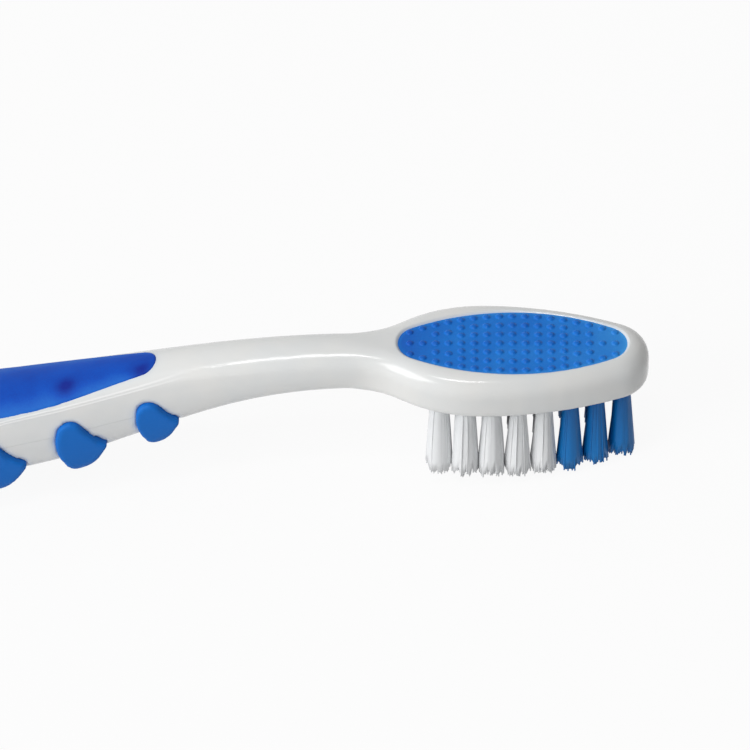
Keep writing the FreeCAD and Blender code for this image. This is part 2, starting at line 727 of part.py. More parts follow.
def resting_placement(handle, tufts):
    """The placement in which the brush lies on its toe bristles and its tail.

    The brush is turned about Y until the lowest point of the toe's tufts and the lowest point of
    the tail are level, and the middle of its box is then set over the origin, with its lowest
    point at Z = 0.
    """
    tail_from = -sum(size(f"{station[0]}_run") for station in STATIONS) / 2
    points = handle.Shape.tessellate(0.02)[0]
    tail = [point for point in points if point.x < tail_from]
    toe = [point for tuft in tufts[: COLUMNS[0][0]] for point in tuft.Shape.tessellate(0.02)[0]]

    def lowest(cloud, turn):
        return min(turn.multVec(point).z for point in cloud)

    low, high = 0.0, 30.0
    for halving in range(40):
        middle = (low + high) / 2
        turn = FreeCAD.Rotation(V(0, 1, 0), middle)
        if lowest(tail, turn) < lowest(toe, turn):
            low = middle
        else:
            high = middle
    turn = FreeCAD.Rotation(V(0, 1, 0), (low + high) / 2)
    whole = Part.Compound([handle.Shape] + [tuft.Shape for tuft in tufts])
    whole.Placement = FreeCAD.Placement(V(), turn)
    box = whole.optimalBoundingBox()
    base = V(-(box.XMin + box.XMax) / 2, -(box.YMin + box.YMax) / 2, -box.ZMin)
    return FreeCAD.Placement(base, turn)


def check(objects):
    """Stops if a feature failed or a piece has no sound solid."""
    for item in doc.Objects:
        bad = [state for state in item.State if state in ("Invalid", "Error")]
        if bad:
            raise RuntimeError(f"{item.Label} failed: {bad}")
    for item in objects:
        if item.Shape.isNull() or not item.Shape.isValid() or not item.Shape.Solids:
            raise RuntimeError(f"{item.Label} has no sound solid")


blank = make_handle_blank()
tongue_cleaner = make_tongue_cleaner()
soft_grip, rubber_shot = make_soft_grip(blank)
anchors, anchor_slots, anchor_boxes = make_anchors()
tufts = make_tufts(anchor_boxes)
bare = boolean("Cut", "handle_with_grip_seat", blank, rubber_shot)
handle = boolean("Cut", "handle", bare, anchor_slots)
doc.recompute()

pieces = [handle, soft_grip, tongue_cleaner, anchors] + tufts
check(pieces)
resting = resting_placement(handle, tufts)
for piece in pieces:
    piece.Placement = resting.multiply(piece.Placement)
doc.recompute()
check(pieces)

os.makedirs("parts", exist_ok=True)
for piece in pieces:
    piece.Shape.exportStep(f"parts/{piece.Label}.step")
    print(f"{piece.Label}: {piece.Shape.Volume:.2f} mm3, {len(piece.Shape.Solids)} solid(s)")
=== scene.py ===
import math

import bmesh
import bpy
import numpy as np
from mathutils import Matrix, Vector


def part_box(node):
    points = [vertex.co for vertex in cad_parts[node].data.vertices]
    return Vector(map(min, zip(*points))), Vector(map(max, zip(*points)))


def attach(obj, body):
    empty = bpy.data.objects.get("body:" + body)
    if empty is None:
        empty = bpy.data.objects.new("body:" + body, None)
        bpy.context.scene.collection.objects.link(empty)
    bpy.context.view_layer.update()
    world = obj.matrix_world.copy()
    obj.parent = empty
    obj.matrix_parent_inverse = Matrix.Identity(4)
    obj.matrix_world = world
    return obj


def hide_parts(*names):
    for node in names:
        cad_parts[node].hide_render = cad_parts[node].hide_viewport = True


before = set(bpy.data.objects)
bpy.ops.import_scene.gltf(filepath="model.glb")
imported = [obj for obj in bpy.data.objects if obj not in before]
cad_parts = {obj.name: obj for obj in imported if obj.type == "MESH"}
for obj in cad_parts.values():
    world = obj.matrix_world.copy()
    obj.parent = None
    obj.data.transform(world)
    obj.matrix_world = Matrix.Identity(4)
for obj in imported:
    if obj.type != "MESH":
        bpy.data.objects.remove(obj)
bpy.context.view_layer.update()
print("frame loaded with", len(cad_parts), "nodes")

dice = np.random.default_rng(27)

# Everything is worked out level, in mm: back of the head at z 0, toe at x 0, tail towards -x.
# The brush then leans on its toe bristles and its tail.
resting = {
    "lean": 0.0960913534,  # radians about the cross axis
    "shift": (95.947584008, -0.004478973, 14.399362673),
}


def leaned(points, way):
    # turned about the cross axis by the lean, with way 1, or back, with way -1:
    # x becomes x cos + z sin, and z becomes z cos - x sin
    x, y, z = np.moveaxis(np.asarray(points, float), -1, 0)
    c, s = math.cos(resting["lean"]), way * math.sin(resting["lean"])
    return np.stack([x * c + z * s, y, z * c - x * s], -1)


def atRest(points):
    # level mm to resting metres: leaned, then shifted
    return (leaned(points, 1) + resting["shift"]) / 1000


def level(points):
    # resting metres back to level mm, the other way round
    return leaned(points * 1000 - resting["shift"], -1)


def ramped(value, start, end):
    # 0 before start, 1 after end, an S between
    t = np.clip((value - start) / (end - start), 0, 1)
    return t * t * (3 - 2 * t)


def band(value, start, full, fade, end):
    # 1 from full to fade, 0 before start and after end, an S on each flank
    return ramped(value, start, full) * (1 - ramped(value, fade, end))


def heightOn(line, points):
    # height, at each point's x, of a line through corners (x, z)
    return np.interp(points[:, 0], *np.array(line).T)


def gridQuads(rows, columns, ring):
    # quads between neighbouring rows; in a ring the last column joins the first
    spans = columns if ring else columns - 1
    r, c = np.meshgrid(np.arange(rows - 1), np.arange(spans), indexing="ij")
    here, beside = r * columns + c, r * columns + (c + 1) % columns
    return np.stack([here, beside, beside + columns, here + columns], -1).reshape(-1, 4)


def gathered(rows, key, width, kind):
    # the numbers that a mesh's table keeps under a key, so many to each row
    numbers = np.empty(len(rows) * width, kind)
    rows.foreach_get(key, numbers)
    return numbers.reshape(-1, width)


def pointsOf(mesh):
    # a mesh's points in mm
    return gathered(mesh.vertices, "co", 3, float) * 1000


def edgesOf(mesh):
    # the two point numbers of every edge
    return gathered(mesh.edges, "vertices", 2, int)


def facesOf(mesh, sides):
    # the point numbers of every face, all with so many sides
    return gathered(mesh.loops, "vertex_index", 1, int).reshape(-1, sides)


def solidOf(node):
    # a CAD solid's points in level mm, and its triangles
    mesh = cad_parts[node].data
    return level(gathered(mesh.vertices, "co", 3, float)), facesOf(mesh, 3).tolist()


def linked(name, data):
    # a new object in the scene
    thing = bpy.data.objects.new(name, data)
    bpy.context.scene.collection.objects.link(thing)
    return thing


def mergeDoubles(thing, distance):
    # welds poles and seams, and turns the faces outwards
    net = bmesh.new()
    net.from_mesh(thing.data)
    bmesh.ops.remove_doubles(net, verts=net.verts, dist=distance)
    bmesh.ops.recalc_face_normals(net, faces=net.faces)
    net.to_mesh(thing.data)
    net.free()


def meshThing(name, points, faces):
    # an object in level metres, for working a shape out on
    mesh = bpy.data.meshes.new(name)
    mesh.from_pydata(points / 1000, [], faces)
    return linked(name, mesh)


def joined(name, *solids):
    # several closed solids as one such object, their loose triangles merged
    starts = np.cumsum([0] + [len(points) for points, own in solids])
    faces = [[corner + start for corner in face]
             for (points, own), start in zip(solids, starts) for face in own]
    thing = meshThing(name, np.concatenate([points for points, own in solids]), faces)
    mergeDoubles(thing, 2e-6)
    return thing


def applied(thing, name):
    # the object's mesh with its modifiers worked in, and its points in level mm
    state = bpy.context.evaluated_depsgraph_get()
    mesh = bpy.data.meshes.new_from_object(thing.evaluated_get(state))
    bpy.data.objects.remove(thing)
    mesh.name = name
    return mesh, pointsOf(mesh)


def evenNet(name, cell, *solids):
    # the solids' common outside on a net of even cells
    raw = joined(name + "_raw", *solids)
    net = raw.modifiers.new("net", "REMESH")
    net.mode, net.voxel_size = "VOXEL", cell / 1000
    return applied(raw, name)


def summed(places, values, count):
    # rows of three values added up at their places
    return np.stack([np.bincount(places, values[:, k], count) for k in range(3)], -1)


def eased(points, mesh, rounds, back, weight=1.0):
    # each round draws a point half way to the mean of its neighbours, then pushes it back about as
    # far by the new mean, so that edges and ripples go and the girth stays
    ends = edgesOf(mesh)
    ends = np.concatenate([ends, ends[:, ::-1]])
    degree = np.bincount(ends[:, 0], minlength=len(points))[:, None]
    for step in (0.5, -back) * rounds:
        mean = summed(ends[:, 0], points[ends[:, 1]], len(points)) / degree
        points = points + step * weight * (mean - points)
    return points


def outwards(points, mesh):
    # unit normals of a mesh of quads whose points were moved: each face's own, the cross product
    # of its diagonals, is added up at its corners
    quads = facesOf(mesh, 4)
    a, b, c, d = points[quads.T]
    total = summed(quads.ravel(), np.repeat(np.cross(c - a, d - b), 4, 0), len(points))
    return total / np.maximum(np.linalg.norm(total, axis=1), 1e-12)[:, None]


def putOn(mesh, material, node):
    # puts a mesh on the brush, smooth and in one material, to stand for its CAD node
    mesh.shade_smooth()
    mesh.materials.clear()
    mesh.materials.append(material)
    piece = linked(mesh.name, mesh)
    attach(piece, "root")
    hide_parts(node)
    return piece


def newPiece(name, points, faces, material, slot, node):
    # a piece from level points and its faces
    mesh = bpy.data.meshes.new(name)
    mesh.from_pydata(atRest(points).reshape(-1, 3), [], faces)
    return putOn(mesh, material, node)


def finishNet(mesh, points, material, node):
    # a piece from a net whose level points were moved
    mesh.vertices.foreach_set("co", atRest(points).ravel())
    putOn(mesh, material, node)


def setTone(mesh, name, values):
    # one number per point, for the materials
    mesh.attributes.new(name, "FLOAT", "POINT").data.foreach_set("value", values.astype(np.float32))


class Wire:
    # one output of a shader node; arithmetic on it adds Math nodes
    def __init__(self, tree, socket=None):
        self.tree, self.socket = tree, socket

    def node(self, kind, settings=None, sockets=None, out=0):
        made = self.tree.nodes.new("ShaderNode" + kind)
        for key, value in (settings or {}).items():
            if key == "stops":
                ramp = made.color_ramp.elements
                while len(ramp) < len(value):
                    ramp.new(0.5)
                for element, (place, tint) in zip(ramp, value):
                    element.position, element.color = place, tint
            else:
                setattr(made, key, value)
        for key, value in (sockets or {}).items():
            if isinstance(value, Wire):
                self.tree.links.new(value.socket, made.inputs[key])
            else:
                made.inputs[key].default_value = value
        return Wire(self.tree, made.outputs[out])

    def math(self, operation, *values):
        return self.node("Math", {"operation": operation}, dict(enumerate(values)))

    def __add__(self, other):
        return self.math("ADD", self, other)

    def __sub__(self, other):
        return self.math("SUBTRACT", self, other)

    def __rsub__(self, other):
        return self.math("SUBTRACT", other, self)

    def __mul__(self, other):
        return self.math("MULTIPLY", self, other)

    def __abs__(self):
        return self.math("ABSOLUTE", self)

    __radd__, __rmul__ = __add__, __mul__

    def between(self, low, high, first, last):
        # this value's span low..high carried to first..last, and held there
        return self.node("MapRange", {"clamp": True}, {0: self, 1: low, 2: high, 3: first, 4: last})

    def blend(self, first, second):
        # two colours mixed by this value
        return self.node("Mix", {"data_type": "RGBA"}, {"Factor": self, 6: first, 7: second}, 2)

    def tone(self, name):
        # a number kept on the points
        return self.node("Attribute", {"attribute_name": name}, None, 2)

    def noise(self, scale, detail):
        # soft noise on Object coordinates, scale lumps to the metre
        where = self.node("TexCoord", out=3)
        return self.node("TexNoise", None, {"Vector": where, "Scale": scale, "Detail": detail})

    def bump(self, height, **sockets):
        # a surface raised by a height
        return self.node("Bump", None, {"Height": height, **sockets})


noiseSpan = 0.3, 0.7  # what most of a noise lies between


def colour(red, green, blue):
    # screen colour, 0..255, as a linear socket value
    c = np.array([red, green, blue]) / 255
    return (*np.where(c <= 0.04045, c / 12.92, ((c + 0.055) / 1.055) ** 2.4).tolist(), 1.0)


def newMaterial(name, constants):
    # a Principled material with its fixed sockets set; returns it and the start of its wiring
    material = bpy.data.materials.new(name)
    material.use_nodes = True
    tree = material.node_tree
    shader = tree.nodes["Principled BSDF"]
    for key, value in constants.items():
        shader.inputs[key].default_value = value
    material.diffuse_color = constants["Base Color"]
    return material, Wire(tree), shader


def plug(wire, node, name):
    # joins an output to a node's input
    wire.tree.links.new(wire.socket, node.inputs[name])


whitePlastic = {
    "colour": colour(228, 228, 226),
    "cool": colour(223, 225, 225),
    "coolSpan": (0.35, 0.65),
    "stained": colour(150, 186, 224),  # where rubber shines through at its edge
    "roughness": (0.14, 0.21),
    "waviness": 160,  # flow marks, per metre
    "grain": 2600,
    "grainShare": 0.4,
    "strength": 0.1,
    "depth": 0.00003,  # of the grain, in metres
    "ridgeApart": 0.17,  # mm from the shoulder line to the two fine ridges beside it
    "ridge": 0.13,
    "ridgeHeight": 0.02,
    "ridgeHighlight": 0.9,  # how much paler the ridges are painted: a painted highlight
    "highlightColour": colour(250, 250, 250),
    "step": (-0.05, 0.05),  # mm about the parting line
    "stepHeight": 0.024,
}


def makeWhitePlastic():
    # glossy polypropylene: faint flow marks, a whisper of mould grain, a blue breath beside the
    # rubber; two fine ridges beside the shoulder line, painted paler as a painted highlight, and a
    # step at the parting line
    m = whitePlastic
    material, start, shader = newMaterial("whitePolypropylene",
                                          {"Base Color": m["colour"], "IOR": 1.49})
    flow, grain = start.noise(m["waviness"], 2.0), start.noise(m["grain"], 3.0)
    fade = start.tone("fade")
    away = abs(abs(start.tone("shoulder")) - m["ridgeApart"])
    ridge = away.between(0, m["ridge"], 1, 0) * fade
    plain = flow.between(*m["coolSpan"], 0, 1).blend(m["colour"], m["cool"])
    body = start.tone("stain").blend(plain, m["stained"])
    # the two ridges are painted paler than the plastic: a painted highlight along the shoulder line
    plug((ridge * m["ridgeHighlight"]).blend(body, m["highlightColour"]), shader, "Base Color")
    plug(flow.between(*noiseSpan, *m["roughness"]), shader, "Roughness")
    fine = start.bump(grain * m["grainShare"] + flow, Strength=m["strength"], Distance=m["depth"])
    parting = start.tone("parting").between(*m["step"], 0, 1)
    lines = ridge * m["ridgeHeight"] + parting * fade * m["stepHeight"]
    plug(start.bump(lines, Distance=0.001, Normal=fine), shader, "Normal")
    return material


gripTones = {
    "stops": [(0.0, colour(0, 34, 140)), (0.45, colour(2, 78, 186)), (1.0, colour(36, 122, 212))],
    "rib": colour(18, 108, 198),
    "roughness": (0.5, 0.62),
    "grain": 5200,
}
cleanerTones = {
    "stops": [(0.0, colour(4, 74, 180)), (0.5, colour(15, 117, 211)), (1.0, colour(62, 154, 226))],
    "rib": colour(12, 112, 208),
    "roughness": (0.3, 0.42),
    "grain": 4200,
}
rubber = {
    "cloud": 260,
    "uneven": 0.08,  # of the clouds, in tone
    "speckle": 0.04,  # of the grain, in tone
    "strength": 0.22,
    "depth": 0.00003,
}


def makeRubber(name, m):
    # translucent thermoplastic rubber: deeper where it is thick, paler where it thins out over the
    # white plastic (the point attribute "tone"), another blue on the ribs, and a matt mould grain
    material, start, shader = newMaterial(name, {"Base Color": m["stops"][1][1], "IOR": 1.5,
                                                 "Specular IOR Level": 0.2})
    cloud, grain = start.noise(rubber["cloud"], 4.0), start.noise(m["grain"], 2.0)
    shade = start.tone("tone") + cloud.between(*noiseSpan, -rubber["uneven"], rubber["uneven"])
    shade = shade + grain.between(*noiseSpan, -rubber["speckle"], rubber["speckle"])
    ramp = start.node("ValToRGB", {"stops": m["stops"]}, {"Fac": shade})
    plug(start.tone("rib").blend(ramp, m["rib"]), shader, "Base Color")
    plug(grain.between(*noiseSpan, *m["roughness"]), shader, "Roughness")
    raised = start.bump(grain, Strength=rubber["strength"], Distance=rubber["depth"])
    plug(raised, shader, "Normal")
    return material


nylon = {
    "white": (colour(228, 231, 233), colour(238, 239, 240)),  # at the root, at the tip
    "blue": (colour(0, 88, 160), colour(2, 120, 194)),
    "gloss": 0.3,
    "roughness": 0.45,
}


def makeNylon(hue):
    # dyed nylon filaments, paler towards their tips, each with a tone of its own
    root, tip = nylon[hue]
    material, start, shader = newMaterial(hue + "Nylon", {
        "Base Color": tip, "IOR": 1.53, "Specular IOR Level": nylon["gloss"],
        "Roughness": nylon["roughness"]})
    plug(start.tone("tone").blend(root, tip), shader, "Base Color")
    return material


brass = {
    "colour": (0.76, 0.57, 0.26, 1),
    "rolled": 3000,  # marks, per metre
    "roughness": (0.25, 0.4),
}


def makeBrass():
    # rolled brass strip, hidden in the tuft holes
    material, start, shader = newMaterial("brassAnchor",
                                          {"Base Color": brass["colour"], "Metallic": 1.0})
    rolled = start.noise(brass["rolled"], 2.0)
    plug(rolled.between(*noiseSpan, *brass["roughness"]), shader, "Roughness")
    return material


white = makeWhitePlastic()
gripRubber = makeRubber("gripRubber", gripTones)
cleanerRubber = makeRubber("cleanerRubber", cleanerTones)
nylons = {hue: makeNylon(hue) for hue in ("white", "blue")}

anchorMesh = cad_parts["anchors"].data
anchorMesh.materials.clear()
anchorMesh.materials.append(makeBrass())
print("materials made")


def ovalSize(oval, grown=0):
    # length, width and tip radius of an oval, grown on all sides
    return oval["length"] + 2 * grown, oval["width"] + 2 * grown, oval["tip"] + grown


def ovalArcs(length, width, tip):
    # how far a tip arc's centre is from the middle, and the radius of the side arcs, which touch
    # the tip arcs
    end = length / 2 - tip
    return end, (end ** 2 + (width / 2) ** 2 - tip ** 2) / (width - 2 * tip)


def halfWidths(x, length, width, tip):
    # half width of an oval at x from its middle: height of the side arc up to the place where the
    # arcs touch, and of the tip arc past it
    end, side = ovalArcs(length, width, tip)
    touch = end * side / (side - tip)
    flank = np.sqrt(np.maximum(side ** 2 - x ** 2, 0)) - (side - width / 2)
    nose = np.sqrt(np.maximum(tip ** 2 - (np.abs(x) - end) ** 2, 0))
    return np.where(np.abs(x) < touch, flank, nose)


def ovalGap(x, y, length, width, tip):
    # distance outside that oval, negative inside: from the side arcs' centre in their sector, and
    # from the tip's centre in its own
    end, side = ovalArcs(length, width, tip)
    low, up = side - width / 2, np.abs(y)
    return np.where(np.abs(x) * low < end * (up + low), np.hypot(x, up + low) - side,
                    np.hypot(np.abs(x) - end, y) - tip)


def ovalGrid(oval, grown, along, across, crowd):
    # points over an oval grown on all sides: rows across it, closer at the tips, and crowded
    # towards its outline by the share given
    size = ovalSize(oval, grown)
    x = -size[0] / 2 * np.cos(np.pi * np.linspace(0, 1, along))[:, None]
    v = np.linspace(0, 1, across)[None]
    return x, halfWidths(x, *size) * ((1 - crowd) * (2 * v - 1) - crowd * np.cos(np.pi * v))


def middleOf(pad):
    # x of a pad's middle
    return -pad["from"] - pad["length"] / 2


def gapTo(pad, points):
    # distance outside a pad's outline, seen from above
    return ovalGap(points[:, 0] - middleOf(pad), points[:, 1], *ovalSize(pad))


def slab(x, y, top, bottom):
    # loops over an oval grid, one to a row: over the top and back underneath
    upper = np.stack(np.broadcast_arrays(x, y, top), -1)
    under = upper[:, [-1, 0]].copy()
    under[..., 2] = np.broadcast_to(bottom, top.shape)[:, [-1, 0]]
    return np.concatenate([upper, under], 1)


def closed(loops):
    # such loops as one solid
    return loops.reshape(-1, 3), gridQuads(*loops.shape[:2], True).tolist()


def edgeDrop(pad, inward):
    # how far the quarter round at a pad's edge lies under its face, inward from the outline
    return pad["edge"] * (1 - np.sqrt(1 - np.clip(1 - inward / pad["edge"], 0, 1) ** 2))


def padPiece(name, loops, tone, material, slot, node):
    # a pad from its loops; the two points underneath take the tone of the edge they lie under
    piece = newPiece(name, *closed(loops), material, slot, node)
    tones = np.concatenate([tone, tone[:, [-1, 0]]], 1).ravel()
    setTone(piece.data, "tone", tones)
    setTone(piece.data, "rib", np.zeros(tones.size))
    mergeDoubles(piece, 1e-7)
    return piece


def dropGrid(x, y, *solids):
    # height of the solids' top under each point of a level grid, by dropping the grid on them; a
    # point that misses them stays 10 mm up
    start = np.stack(np.broadcast_arrays(x, y, 10.0), -1)
    target = joined("target", *solids)
    sheet = meshThing("sheet", start.reshape(-1, 3), gridQuads(*start.shape[:2], False).tolist())
    fall = sheet.modifiers.new("fall", "SHRINKWRAP")
    fall.target, fall.wrap_method = target, "PROJECT"
    fall.use_project_z, fall.use_negative_direction, fall.use_positive_direction = True, True, False
    mesh, points = applied(sheet, "dropped")
    bpy.data.objects.remove(target)
    bpy.data.meshes.remove(mesh)
    return points[:, 2].reshape(start.shape[:2])


def evened(heights, along, across):
    # quarter, half, quarter averages over neighbours, so many times each way
    for axis, rounds in ((0, along), (1, across)):
        places = np.arange(heights.shape[axis])
        for step in range(rounds):
            before = heights.take(np.maximum(places - 1, 0), axis)
            after = heights.take(np.minimum(places + 1, places[-1]), axis)
            heights = (before + 2 * heights + after) / 4
    return heights


def readGrid(heights, row, column):
    # height at places between a grid's points: the four round each, by their shares
    r = np.clip(row.astype(int), 0, heights.shape[0] - 2)
    c = np.clip(column.astype(int), 0, heights.shape[1] - 2)
    near, far = (heights[k, c] * (1 - (column - c)) + heights[k, c + 1] * (column - c)
                 for k in (r, r + 1))
    return near * (1 - (row - r)) + far * (row - r)


thumbPad = {
    "from": 52.9,  # toe to its front tip
    "length": 78.2,
    "width": 10.1,
    "tip": 1.75,  # plan radius of the two ends
    "fuller": (26.5, 8.0, 0.075),  # where, over what length, by what share the outline swells
    "proud": 0.1,
    "edge": 0.3,  # rounding of the edge, which dives under the plastic's surface
    "grown": 0.08,
    "under": 0.8,
    "along": 460,
    "across": 72,
    "crowd": 0.5,
    "measured": 0.6,  # the plastic's top is measured this far past the outline
    "missed": 5,  # a height above this missed the handle
    "overhang": 3,  # columns at each side that may miss it
    "rounds": (6, 5),  # of averages over the heights, along and across
    "filler": 1.7,  # depth of the plastic closed under the pad
    "tone": 0.38,
    "paler": 0.34,  # towards the outline
    "palerFrom": (0.4, 1.1),  # shares of the half width
    "palerOval": 0.1,  # the half width of the outline grown by this
    "channels": (-37.7, -29.35, -20.2, -11.85, -3.5),  # from its middle, towards the tail
    "channelDark": 0.5,
    "channelBlur": 1.15,
    "channelSide": -1.75,  # the mouths lie deep, so they show a little to one side
}


def makeThumbPad():
    # the plastic's own top is measured once over the outline and a little more; the pad is that
    # height plus its stand, less a quarter round at its edge. The plastic is closed flush under it.
    # tone: paler with an S of the share of the half width, less a bell over each channel, where
    # the rubber goes right through the handle
    p = thumbPad
    x, y = ovalGrid(p, p["measured"], p["along"], p["across"], 0)
    land = dropGrid(x + middleOf(p), y, solidOf("handle"), solidOf("soft_grip"))
    for k in reversed(range(p["overhang"])):
        for here, inner in ((k, k + 1), (-1 - k, -2 - k)):  # a miss takes the height next to it
            land[:, here] = np.where(land[:, here] > p["missed"], land[:, inner], land[:, here])
    land = evened(land - p["proud"] * (ovalGap(x, y, *ovalSize(p)) < 0), *p["rounds"])
    kept = slice(p["overhang"], -p["overhang"])
    filler = slab(x + middleOf(p), y[:, kept], land[:, kept], land[:, kept] - p["filler"])
    outer = np.maximum(halfWidths(x, *ovalSize(p, p["measured"])), 1e-6)
    px, py = ovalGrid(p, p["grown"], p["along"], p["across"], p["crowd"])
    inward = -ovalGap(px, py, *ovalSize(p, p["grown"]))
    at, over, share = p["fuller"]
    py = py * (1 + share * np.exp(-((px - at) / over) ** 2))
    row = np.interp(px, x[:, 0], np.arange(p["along"]))
    column = (py / np.interp(px, x[:, 0], outer[:, 0]) + 1) / 2 * (p["across"] - 1)
    top = readGrid(land, row, column)
    loops = slab(px + middleOf(p), py, top + p["proud"] - edgeDrop(p, inward), top - p["under"])
    across = np.abs(py) / np.maximum(halfWidths(px, *ovalSize(p, p["palerOval"])), 1.0)
    tone = p["tone"] + p["paler"] * ramped(across, *p["palerFrom"])
    for channel in p["channels"]:
        away = (px + channel) ** 2 + (py - p["channelSide"]) ** 2
        tone -= p["channelDark"] * np.exp(-away / p["channelBlur"] ** 2)
    padPiece("thumb_pad", loops, tone, gripRubber, "grip_rubber", "soft_grip")
    return closed(filler)


thumbFiller = makeThumbPad()
print("thumb pad made")

ribs = {
    "cell": 0.2,
    "rounds": 24,
    "back": 0.44,
    "proud": 0.05,
    "sunk": 0.3,  # the CAD pad's share of this net, kept out of sight under the thumb pad
    "below": 3.5,  # ribs start this far under the handle's top line
    "belowSoft": 0.2,
    "tone": 0.4,
    "setBack": 0.8,  # from the third rib on they stand this much further back than evenly spaced
    "setAlong": (62.5, 68.5, 100, 160),  # from the toe: where that starts, is full, fades and ends
    "setBelow": (1.2, 3.2),
    "topLine": ((-131, -15.9), (-120, -14.07), (-102, -11.32), (-84, -8.54), (-72, -6.27),
                (-60, -3.49), (-50, -1.9)),
}


def underTop(points):
    # depth under the handle's top line
    return heightOn(ribs["topLine"], points) - points[:, 2]


def spacedOut(points):
    # draws the sides towards the tail by setBack, in a band along the handle and only under its
    # top line
    share = band(-points[:, 0], *ribs["setAlong"]) * ramped(underTop(points), *ribs["setBelow"])
    return points - share[:, None] * [ribs["setBack"], 0, 0]


def makeRibs():
    # the ribs that wrap the sides, from the rubber's own solid, their edges eased: moved along the
    # normals by proud under the top line, and by -sunk above
    p = ribs
    mesh, points = evenNet("finger_ribs", p["cell"], solidOf("soft_grip"))
    points = eased(points, mesh, p["rounds"], p["back"])
    rib = ramped(underTop(points), p["below"] - p["belowSoft"], p["below"] + p["belowSoft"])
    move = rib * (p["proud"] + p["sunk"]) - p["sunk"]
    points = points + move[:, None] * outwards(points, mesh)
    setTone(mesh, "tone", np.full(len(points), p["tone"]))
    setTone(mesh, "rib", rib)
    finishNet(mesh, spacedOut(points), gripRubber, "soft_grip")
    return points


ribPoints = makeRibs()
print("ribs made with", len(ribPoints), "points")

cleaner = {
    "from": 2.35,  # toe to the pad's front end
    "length": 24.6,
    "width": 9.6,
    "tip": 2.6,  # plan radius of the two ends
    "top": -0.2,
    "bottom": -0.9,
    "edge": 0.1,  # rounding of the upper edge
    "grown": 0.12,  # its edge, hidden under the plastic's rolled rim
    "along": 400,
    "across": 130,
    "crowd": 0.45,
    "nubPitch": 1.376,
    "nubRadius": 0.37,
    "nubHeight": 0.19,
    "foot": 0.25,  # share of that height in the fillet round a nub's foot
    "footFrom": (-1.25, -0.75),  # in nub radii
    "rowPitch": 1.2,  # between nubs of a column, at least
    "margin": 0.58,  # nub centre to the outline, in a column
    "ends": 0.9,  # first and last column to the pad's ends, at least
    "tone": 0.5,
    "sheenAlong": 0.3,  # painted sheen and shade: paler at the toe and darker at the neck
    "nubTone": -0.16,
    "nubSpan": (0.0, 0.9),
    "edgeTone": 0.25,
    "edgeSpan": (-0.7, 0),
}
handle = {
    "cell": 0.33,
    "rounds": 8,
    "back": 0.51,
    "neckZone": (-46.0, -38.0, -29.5, -26.5),  # extra easing where the neck runs into the head
    "neckRounds": 60,
    "neckBack": 0.502,
    "lid": (0.05, 160, 40),  # plastic closed under the cleaner: grown by, points along and across
    "lidBottom": -1.3,
    "rimAbove": -1,  # only what is higher belongs to the rim
    "rimBand": (-0.6, 0.7),  # about the cleaner's outline, on a finer net
    "rim": (-0.35, 0.3),  # the plastic rolls down between these
    "rimDepth": 0.45,
    "padStain": 0.3,
    "halo": 0.2,  # how fast the stain round a pad dies out
    "haloAbove": -1.5,  # the head's back only
    "haloAhead": -30,
    "haloUnder": 3,  # the handle's top only
    "ribStain": 0.35,
    "stainCell": 0.2,
    "stainReach": 2,  # cells blurred each way
    "stainFull": 0.25,  # share of rubber round a point that stains it fully
    "stainPower": 1.5,
    "lines": (-126, -112, -56, -48),  # where both lines below start, are full, fade and end
    # their heights along the sides: the edge of the flat that the thumb pad lies in, and the
    # mould's parting line
    "shoulder": ((-190, -26), (-130, -18.2), (-120, -16.6), (-102, -13.9), (-84, -11.3),
                 (-76, -9.9), (-69.7, -8.4), (-65, -7.1), (-60, -5.75), (-55, -4.3), (-50, -2.75),
                 (-40, -1.4), (-30, -1.2), (0, -1.2)),
    "parting": ((-190, -27.4), (-180, -26.8), (-150, -23.6), (-120, -20.3), (-100, -17.4),
                (-80, -14.2), (-68, -11.4), (-58, -8.75), (-50, -6.6), (-42, -5.0), (-36, -4.2),
                (-30, -3.95), (0, -3.95)),
}


def nearness(points, others, cell, reach):
    # share of the space round each point that lies by the other piece: its points mark cells of a
    # box, the box is averaged over a few cells along each axis, twice, and read at each point
    low = others.min(0) - 4 * reach * cell
    size = np.ceil((others.max(0) + 4 * reach * cell - low) / cell).astype(int) + 1
    box = np.zeros(size, np.float32)
    box[tuple(((others - low) / cell).astype(int).T)] = 1
    for axis in (0, 1, 2) * 2:
        total = np.cumsum(box, axis)
        box = (np.roll(total, -reach, axis) - np.roll(total, reach + 1, axis)) / (2 * reach + 1)
    spots = ((points - low) / cell).astype(int)
    inside = np.all((spots >= 2 * reach) & (spots < size - 2 * reach), axis=1)
    share = np.zeros(len(points))
    share[inside] = box[tuple(spots[inside].T)]
    return share


def refined(mesh, points, picked):
    # the picked edges cut in three, for a finer net there
    mesh.vertices.foreach_set("co", (points / 1000).ravel())
    net = bmesh.new()
    net.from_mesh(mesh)
    net.edges.ensure_lookup_table()
    bmesh.ops.subdivide_edges(net, edges=[net.edges[i] for i in picked], cuts=2, use_grid_fill=True)
    net.to_mesh(mesh)
    net.free()
    return pointsOf(mesh)


